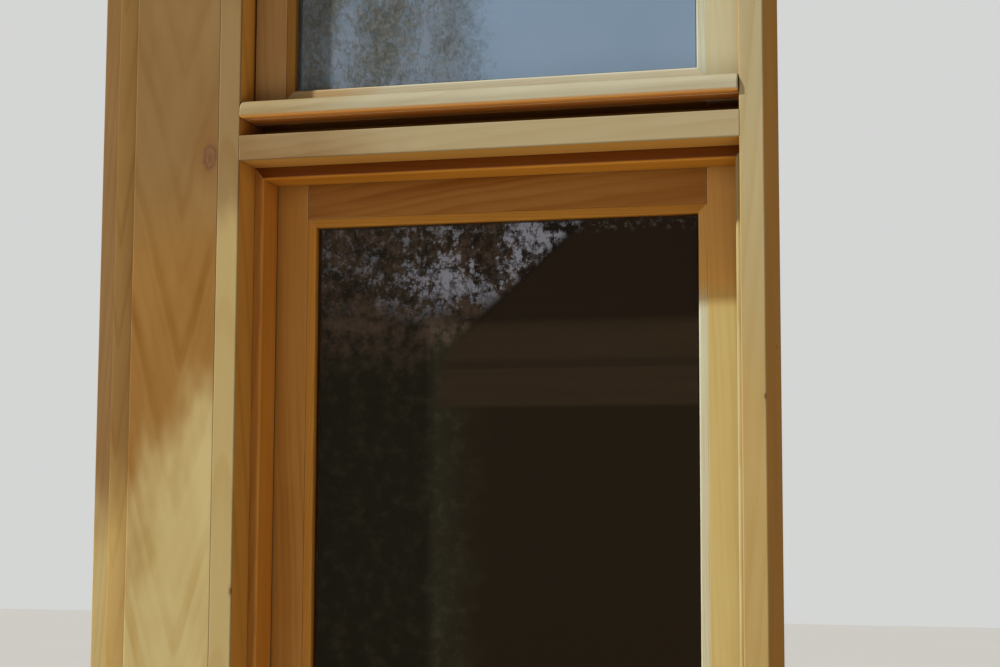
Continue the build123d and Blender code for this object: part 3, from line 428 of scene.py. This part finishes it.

# Mouldings: stops, staff beads and glazing beads, side by side. The tones per side of the stops and glazing beads
# are painted light and shade.
# Stops: the left one in a painted shade tone with its round part painted lighter, the right one pale where lit, the
# top one dark in painted shade under the transom with its round part painted lighter
stop_tones = {"left": (0.465, 0.222, 0.049), "right": (0.415, 0.353, 0.176), "top": (0.168, 0.049, 0.005)}
stop_round_painted_light = {"left": [("x", -0.3205, -0.3178, (0.62, 0.265, 0.042))], "right": [],
               "top": [("z", 0.9955, 0.9925, (0.56, 0.245, 0.031))]}
# Glazing beads: the left and top ones in painted shade tones, the right ones pale as painted sunlit highlights, the
# upper bottom one in the sunlit CREAM tone with painted shade at its left end; the lower right one carries the
# transom's painted shadow at its top
lower_bead_tones = {"left": (0.51, 0.242, 0.039), "right": (0.480, 0.480, 0.345), "top": (0.44, 0.205, 0.030),
                    "bottom": STRAW}
upper_bead_tones = {"left": (0.285, 0.137, 0.024), "right": (0.500, 0.530, 0.440), "top": (0.470, 0.225, 0.050),
                    "bottom": CREAM}
lower_bead_shade = {"right": [("z", 0.800, 0.850, (0.58, 0.330, 0.095))]}
upper_bead_painted_shade = {"bottom": (-0.27, -0.12, (0.47, 0.330, 0.170))}
for side, grain, cross, shift in (("left", "Z", -0.36, 0.0), ("right", "Z", 0.36, 5.3), ("top", "X", 1.05, 9.1),
                                  ("bottom", "X", 0.02, 12.7)):
    if side != "bottom":
        paint(f"stop_{side}", pine(
            f"stop_{side}_pine", grain, stop_tones[side], pith=(cross, 0.14), rings=((0.0045, 0.30),),
            painted_light_and_room_side=stop_round_painted_light[side], seed=10.3 + shift, streak=0.60))
        paint(f"vent_stop_{side}", pine(
            f"vent_stop_{side}_pine", grain, AMBER, pith=(cross, 0.14), rings=((0.0045, 0.36),), seed=11.9 + shift))
    paint(f"staff_bead_{side}", pine(
        f"staff_{side}_pine", grain, STRAW, pith=(cross, 0.24), rings=((0.005, 0.30),), seed=13.4 + shift))
    paint(f"lower_bead_{side}", pine(
        f"lower_bead_{side}_pine", grain, lower_bead_tones[side], pith=(cross, 0.16), rings=((0.004, 0.26),),
        seed=14.9 + shift, painted_light_and_room_side=lower_bead_shade.get(side, ()), streak=0.30))
    paint(f"upper_bead_{side}", pine(
        f"upper_bead_{side}_pine", grain, upper_bead_tones[side], pith=(cross, 0.16), rings=((0.004, 0.26),),
        seed=17.3 + shift, fade=upper_bead_painted_shade.get(side), streak=0.30))

# The sashes' stiles and rails, with painted light and shade: the left stiles and the top rails in shade tones, the
# right stiles in paler lit tones, and the transom's painted shadow across the top of the lower right stile. Their
# room side keeps its amber.
lower_look = {"seed": 20.2, "middle": 0.5, "left": (0.463, 0.230, 0.052), "right": (0.470, 0.372, 0.152),
              "bottom": (0.440, 0.315, 0.118),
              "zone_tone": [("z", 0.800, 0.850, (0.60, 0.335, 0.095)), ("y", 0.122, 0.127, AMBER)]}
upper_look = {"seed": 24.6, "middle": 1.25, "left": (0.425, 0.250, 0.098), "right": (0.475, 0.457, 0.312),
              "bottom": (0.450, 0.265, 0.080), "zone_tone": [("y", 0.056, 0.061, AMBER)]}
RAIL_TONE = (0.332, 0.151, 0.031)
for sash, look in (("lower", lower_look), ("upper", upper_look)):
    paint(f"{sash}_stile_left", pine(
        f"{sash}_stile_left_pine", "Z", look["left"], pith=(-0.20, 0.23), slope=40.0,
        rings=((0.0065, 0.22), (0.03, 0.24)), seed=look["seed"], streak=0.42, blotch=0.50))
    paint(f"{sash}_stile_right", pine(
        f"{sash}_stile_right_pine", "Z", look["right"], pith=(0.40, 0.22), slope=40.0, rings=((0.0065, 0.14),),
        painted_light_and_room_side=look["zone_tone"], seed=look["seed"] + 1.1, streak=0.16, blotch=0.24))
    paint(f"{sash}_top_rail", pine(
        f"{sash}_top_rail_pine", "X", RAIL_TONE, pith=(look["middle"] + 0.35, 0.26), slope=16.0,
        rings=((0.008, 0.34), (0.035, 0.52)), warp=0.009, seed=look["seed"] + 2.3, streak=0.46, blotch=0.60))
    paint(f"{sash}_bottom_rail", pine(
        f"{sash}_bottom_rail_pine", "X", look["bottom"], pith=(look["middle"] - 0.35, 0.26), slope=16.0,
        rings=((0.008, 0.20), (0.035, 0.20)), warp=0.009, seed=look["seed"] + 3.9))


def twig_lines(g, x, z, scale_x, scale_z, layer, width):
    """Thin wandering lines where a noise crosses its middle value."""
    field = g.face_noise(x, z, scale_x, scale_z, layer, 4.0, 0.62)
    return g.ramp(g.math("ABSOLUTE", g.sub(field, 0.5)), width, 0.0)


# The reflection of a gable painted on the lower glass: its roof line is z = GABLE_RISE * x + GABLE_HEIGHT
GABLE_RISE = 0.9
GABLE_HEIGHT = 0.828


def lower_painted_reflection(g, x, z):
    """Deep brown-black glass, painted dark for the unlit room behind it, with a painted reflection of a garden in
    broad, soft shapes.
    """
    stray = g.swing(g.face_noise(x, z, 9.0, 9.0, 0.0, 4.0, 0.6), 0.10)
    strayed_x = g.add(x, stray)
    foliage = g.face_noise(x, z, 42.0, 42.0, 7.0, 6.0, 0.7)

    # Painted reflection: dark ground, and low bushes on its left
    colour = g.mix(g.ramp(strayed_x, -0.10, -0.02), (0.0160, 0.0150, 0.0084), (0.0130, 0.0088, 0.0044))
    colour = g.mix(g.mul(g.ramp(foliage, 0.45, 0.72), g.fall(x, -0.12, 0.0)), colour, (0.0330, 0.0300, 0.0190))

    # Painted reflection of the gable with its courses and eave
    over_roof = g.sub(z, g.add(g.mul(x, GABLE_RISE), GABLE_HEIGHT))
    gable = g.mul(g.fall(over_roof, -0.004, 0.006), g.ramp(z, 0.683, 0.690))
    gable = g.mul(gable, g.ramp(strayed_x, -0.105, -0.07))
    courses = g.face_noise(x, z, 5.0, 95.0, 3.0, 3.0)
    colour = g.mix(gable, colour, g.mix(courses, (0.0200, 0.0130, 0.0066), (0.0265, 0.0180, 0.0098)))
    eave = g.mul(g.ramp(z, 0.735, 0.738), g.fall(z, 0.744, 0.752))
    colour = g.mix(g.mul(g.mul(eave, gable), 0.5), colour, (0.0120, 0.0085, 0.0050))

    # Painted reflection of warm leaves over the roof, and of the sky between twigs above them
    above = g.ramp(over_roof, 0.0, 0.02)
    high = g.ramp(g.add(z, g.mul(stray, 0.6)), 0.80, 0.86)
    warm = g.mul(g.mul(above, g.ramp(g.add(z, stray), 0.72, 0.80)), g.fall(strayed_x, 0.02, 0.08))
    colour = g.mix(g.mul(warm, g.ramp(foliage, 0.35, 0.65)), colour, (0.080, 0.058, 0.044))
    spots = g.face_noise(x, z, 84.0, 84.0, 2.0, 6.0, 0.76)
    thick = g.face_noise(x, z, 17.0, 17.0, 9.0, 2.0)
    open_sky = g.mul(high, above)
    sky = g.mul(g.ramp(g.add(g.mul(spots, 0.62), g.mul(thick, 0.38)), 0.49, 0.56), open_sky)
    near = g.ramp(g.sub(x, g.mul(g.sub(z, 0.86), 0.5)), -0.22, -0.06)
    colour = g.mix(g.mul(sky, g.add(g.mul(near, 0.54), 0.32)), colour, (0.345, 0.395, 0.540))
    twigs = g.mul(twig_lines(g, x, z, 42.0, 30.0, 5.0, 0.045), open_sky)
    colour = g.mix(g.mul(twigs, 0.75), colour, (0.016, 0.014, 0.010))

    # Painted reflection: pale flecks along the top edge
    rim = g.mul(g.ramp(z, 0.912, 0.922), g.ramp(spots, 0.52, 0.60))
    return g.mix(g.mul(rim, 0.6), colour, (0.120, 0.118, 0.130))


def upper_painted_reflection(g, x, z):
    """Painted reflection on the upper glass: pale grey-blue sky, with soft dark foliage and thin twigs on its left.
    """
    broad = g.face_noise(x, z, 8.0, 8.0, 0.0, 3.0)
    leaves = g.face_noise(x, z, 85.0, 85.0, 4.0, 6.0, 0.75)
    clump = g.face_noise(x, z, 17.0, 11.0, 6.0, 3.0)
    cover = g.fall(g.add(x, g.swing(leaves, 0.16)), -0.075, 0.010)
    sky = g.mix(g.ramp(broad, 0.3, 0.75), (0.195, 0.290, 0.440), (0.215, 0.310, 0.465))
    foliage = g.mix(g.ramp(leaves, 0.38, 0.64), (0.050, 0.058, 0.040), (0.118, 0.124, 0.116))
    density = g.ramp(g.add(g.mul(leaves, 0.55), g.mul(clump, 0.55)), 0.42, 0.62)
    colour = g.mix(g.mul(cover, g.add(g.mul(density, 0.62), 0.34)), sky, foliage)
    gaps = g.mul(twig_lines(g, x, z, 72.0, 52.0, 1.0, 0.055), g.sub(1.0, g.mul(density, 0.55)))
    colour = g.mix(g.mul(g.mul(gaps, cover), 0.62), colour, (0.215, 0.232, 0.305))
    twigs = twig_lines(g, x, z, 50.0, 24.0, 3.0, 0.034)
    return g.mix(g.mul(g.mul(twigs, cover), 0.42), colour, (0.046, 0.048, 0.040))


def room_view(g, x, z):
    """The plain grey-green body colour of clear glass, a little uneven with wiped marks."""
    wiped = g.face_noise(x, z, 14.0, 5.0, 3.0, 4.0, 0.6)
    return g.mix(g.ramp(wiped, 0.35, 0.70), (0.060, 0.072, 0.070), (0.085, 0.098, 0.094))


# The strip along a sheet's edge that shows its spacer: wider on the left, where the photo shows more of it
EDGE_LEFT = 0.0096
EDGE = 0.0068


def clear_edge(spacer):
    """The sheet's middle, inside that strip: left, right, low and high."""
    low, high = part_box(spacer)
    return low.x + EDGE_LEFT, high.x - EDGE, low.z + EDGE, high.z - EDGE


lower_edge = clear_edge("lower_spacer")
upper_edge = clear_edge("upper_spacer")
# The outer sheets carry painted reflections; the inner sheets their plain grey-green colour
paint("lower_pane_outer", pane("lower_glass", lower_edge, lower_painted_reflection, 0.985, gloss=0.05))
paint("upper_pane_outer", pane("upper_glass", upper_edge, upper_painted_reflection, 0.93, gloss=0.20))
paint("lower_pane_inner", pane("lower_inner_glass", lower_edge, room_view, 0.80, gloss=0.35))
paint("upper_pane_inner", pane("upper_inner_glass", upper_edge, room_view, 0.70, gloss=0.35))

# Spacers of one kind: the lower one in a dark bronze tone as painted shade, the upper one pale blue-grey where lit
spacer_in_painted_shade = metal("spacer_painted_shade", (0.150, 0.066, 0.016), (0.095, 0.042, 0.012), 0.45, metallic=0.4)
silver = metal("spacer_silver", (0.30, 0.34, 0.39), (0.19, 0.20, 0.22), 0.42, metallic=0.6)
zinc = metal("zinc_rod", (0.62, 0.62, 0.60), (0.42, 0.42, 0.41), 0.30)
steel = metal("hinge_steel", (0.50, 0.47, 0.41), (0.33, 0.29, 0.23), 0.38)
brass = metal("fitting_brass", (0.66, 0.46, 0.17), (0.42, 0.27, 0.09), 0.30)
enamel = metal("tube_enamel", (0.70, 0.68, 0.62), (0.58, 0.55, 0.48), 0.42, metallic=0.0, scale=160.0)
brown = metal("screen_bar", (0.17, 0.105, 0.055), (0.11, 0.068, 0.038), 0.45, metallic=0.0, scale=240.0)
seal = pile("seal_pile", (0.016, 0.018, 0.014), (0.045, 0.050, 0.040))
paint("lower_spacer", spacer_in_painted_shade)
paint("upper_spacer", silver)
for side in ("left", "right"):
    paint(f"balance_rod_{side}", zinc)
    paint(f"balance_tube_{side}", enamel)
    paint(f"hinge_frame_leaf_{side}", steel)
    paint(f"hinge_sash_leaf_{side}", steel)
    paint(f"sash_lift_{side}", brass)
for name in ("lock_plate", "lock_lever", "lock_keeper", "vent_bolt_housing", "vent_bolt"):
    paint(name, brass)
paint("weather_pile", seal)
paint("vent_gasket", seal)
paint("screen_frame", brown)
paint("screen_mesh", gauze("fly_gauze", (0.060, 0.066, 0.070), 0.0016))


# A screw's head, in shares of its radius: the dome's height, and the cross recess's half width, reach and depth
DOME = 0.22
RECESS_HALF = 0.13
RECESS_REACH = 0.68
RECESS_DEEP = 0.38
HEAD_RINGS = 7
HEAD_SPOKES = 32
SKIRT_DEEP = 0.0002


def screw(name, place, out, radius, material, body):
    """A countersunk screw's domed head with a cross recess, looking along out."""
    mesh_data = bpy.data.meshes.new(name)
    made = bmesh.new()
    rows = []
    for i in range(1, HEAD_RINGS + 1):
        r = radius * i / HEAD_RINGS
        row = []
        for j in range(HEAD_SPOKES):
            angle = 2 * math.pi * j / HEAD_SPOKES
            px, py = r * math.cos(angle), r * math.sin(angle)
            height = radius * DOME * (1 - (r / radius) ** 2)
            if min(abs(px), abs(py)) < radius * RECESS_HALF and r < radius * RECESS_REACH:
                height -= radius * RECESS_DEEP
            row.append(made.verts.new((px, py, height)))
        rows.append(row)
    centre = made.verts.new((0, 0, radius * (DOME - RECESS_DEEP)))
    skirt = [made.verts.new((v.co.x, v.co.y, -SKIRT_DEEP)) for v in rows[-1]]
    rows.append(skirt)
    for j in range(HEAD_SPOKES):
        k = (j + 1) % HEAD_SPOKES
        made.faces.new((centre, rows[0][j], rows[0][k]))
        for inside, outside in zip(rows, rows[1:]):
            made.faces.new((inside[j], outside[j], outside[k], inside[k]))
    made.faces.new(list(reversed(skirt)))
    bmesh.ops.recalc_face_normals(made, faces=made.faces)
    made.to_mesh(mesh_data)
    made.free()
    for polygon in mesh_data.polygons:
        polygon.use_smooth = True
    piece = bpy.data.objects.new(name, mesh_data)
    bpy.context.scene.collection.objects.link(piece)
    piece.matrix_world = Matrix.Translation(place) @ Vector(out).to_track_quat("Z", "Y").to_matrix().to_4x4()
    mesh_data.materials.append(material)
    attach(piece, body)


# Screw seats, from each fitting's box: shares of its width and height, and distances from its edges in metres
OUTSIDE, ROOM, DOWN, UP = (0, -1, 0), (0, 1, 0), (0, 0, -1), (0, 0, 1)
LEAF_SHARES = (("a", 0.2), ("b", 0.5), ("c", 0.8))
LEAF_SEAT = 0.0014
LEAF_ROW = 0.009
HINGE_RADIUS = 0.0026
FITTING_RADIUS = 0.0024
for side in ("left", "right"):
    lo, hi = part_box(f"hinge_sash_leaf_{side}")
    for letter, share in LEAF_SHARES:
        screw(f"hinge_screw_{side}_{letter}", (lo.x + (hi.x - lo.x) * share, hi.y - LEAF_SEAT, lo.z + LEAF_ROW),
              OUTSIDE, HINGE_RADIUS, steel, "upper_sash")
    lo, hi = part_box(f"hinge_frame_leaf_{side}")
    for letter, share in LEAF_SHARES:
        screw(f"hinge_frame_screw_{side}_{letter}",
              (lo.x + (hi.x - lo.x) * share, lo.y + LEAF_ROW, hi.z - LEAF_SEAT), DOWN, HINGE_RADIUS, steel, "frame")
    lo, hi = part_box(f"sash_lift_{side}")
    for letter, share in (("a", 0.18), ("b", 0.82)):
        screw(f"lift_screw_{side}_{letter}", (lo.x + (hi.x - lo.x) * share, lo.y + 0.0025, hi.z - 0.006), ROOM,
              FITTING_RADIUS, brass, "lower_sash")


def plate_screws(plate, prefix, low_share, high_share, thickness, radius, body):
    """Four screws near the corners of an upright plate's box, on its room side."""
    lo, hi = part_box(plate)
    corners = (("a", low_share, 0.86), ("b", high_share, 0.86), ("c", low_share, 0.14), ("d", high_share, 0.14))
    for letter, share_x, share_z in corners:
        place = (lo.x + (hi.x - lo.x) * share_x, lo.y + thickness, lo.z + (hi.z - lo.z) * share_z)
        screw(f"{prefix}_{letter}", place, ROOM, radius, brass, body)


plate_screws("lock_plate", "lock_screw", 0.14, 0.86, 0.002, 0.0016, "lower_sash")
lo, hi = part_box("lock_keeper")
screw("keeper_screw", (hi.x - 0.008, (lo.y + hi.y) / 2, lo.z + 0.004), UP, FITTING_RADIUS, brass, "frame")
plate_screws("vent_bolt_housing", "bolt_screw", 0.13, 0.87, 0.0016, 0.0013, "upper_sash")


# Floor, just under the window
FLOOR_SIZE = 14.0
FLOOR_GAP = 0.001
bpy.ops.mesh.primitive_plane_add(size=FLOOR_SIZE, location=(0, 0, cad_low.z - FLOOR_GAP))
floor = bpy.context.object
floor.name = "floor"
g = Graph("floor_paper")
soft = g.noise(g.vector(*g.place()), 2.0, 2.0)
shade = g.mix(soft, (0.500, 0.510, 0.525), (0.520, 0.530, 0.545))
paper = g.node("ShaderNodeBsdfPrincipled", Base_Color=shade, Roughness=0.9)
floor.data.materials.append(g.finish(paper.outputs[0]))

# World: an even pale room; the fill on the object is a little warm
world = bpy.data.worlds.new("studio")
bpy.context.scene.world = world
world.use_nodes = True
tree = world.node_tree
tree.nodes.clear()


def backdrop(colour, strength):
    """A background shader of one colour."""
    made = tree.nodes.new("ShaderNodeBackground")
    made.inputs["Color"].default_value = (*colour, 1.0)
    made.inputs["Strength"].default_value = strength
    return made.outputs[0]


def larger(a, b):
    """The larger of two values."""
    made = tree.nodes.new("ShaderNodeMath")
    made.operation = "MAXIMUM"
    tree.links.new(a, made.inputs[0])
    tree.links.new(b, made.inputs[1])
    return made.outputs[0]


path = tree.nodes.new("ShaderNodeLightPath").outputs
mixer = tree.nodes.new("ShaderNodeMixShader")
out = tree.nodes.new("ShaderNodeOutputWorld")
straight = larger(path["Is Camera Ray"], path["Is Transmission Ray"])
tree.links.new(larger(straight, path["Is Glossy Ray"]), mixer.inputs[0])
tree.links.new(backdrop((1.0, 0.86, 0.66), 0.24), mixer.inputs[1])
tree.links.new(backdrop((0.66, 0.67, 0.66), 1.0), mixer.inputs[2])
tree.links.new(mixer.outputs[0], out.inputs["Surface"])


def add_light(light, direction):
    """Put a lamp in the scene, shining along direction."""
    holder = bpy.data.objects.new(light.name, light)
    holder.rotation_mode = "QUATERNION"
    holder.rotation_quaternion = Vector(direction).to_track_quat("-Z", "Y")
    bpy.context.scene.collection.objects.link(holder)
    return holder


# Key light: a broad lamp from the upper left, in front
key = bpy.data.lights.new("key", "SUN")
key.energy = 4.5
key.color = (1.0, 0.97, 0.90)
key.angle = math.radians(1.6)
add_light(key, (1.9, 1.0, -1.75))

# Bounce: a large soft panel, low in front
bounce = bpy.data.lights.new("bounce", "AREA")
bounce.shape = "RECTANGLE"
bounce.size = 3.2
bounce.size_y = 1.6
bounce.energy = 15.0
bounce.color = (1.0, 0.80, 0.56)
panel = add_light(bounce, (0.0, 0.35, 1.0))
panel.location = (0.0, -1.05, 0.03)
panel.visible_camera = False
panel.visible_glossy = False

# Camera: the photograph's viewpoint in metres, its angles in radians from the window's own axes and its lens in mm
EYE = (0.6059, -2.181, 0.5469)
YAW, PITCH, ROLL = 0.25925, 0.098885, 0.0038894
LENS = 64.966
ahead = Vector((-math.sin(YAW) * math.cos(PITCH), math.cos(YAW) * math.cos(PITCH), math.sin(PITCH)))
level = Vector((math.cos(YAW), math.sin(YAW), 0.0))
upright = level.cross(ahead)
right = level * math.cos(ROLL) + upright * math.sin(ROLL)
top = upright * math.cos(ROLL) - level * math.sin(ROLL)
camera = bpy.data.cameras.new("camera")
camera.lens = LENS
camera.sensor_width = 36.0
camera.clip_start = 0.05
camera.clip_end = 60.0
camera_object = bpy.data.objects.new("camera", camera)
turn = Matrix((right, top, -ahead)).transposed().to_4x4()
camera_object.matrix_world = Matrix.Translation(EYE) @ turn
bpy.context.scene.collection.objects.link(camera_object)
bpy.context.scene.camera = camera_object

bpy.context.scene.view_settings.view_transform = "Standard"
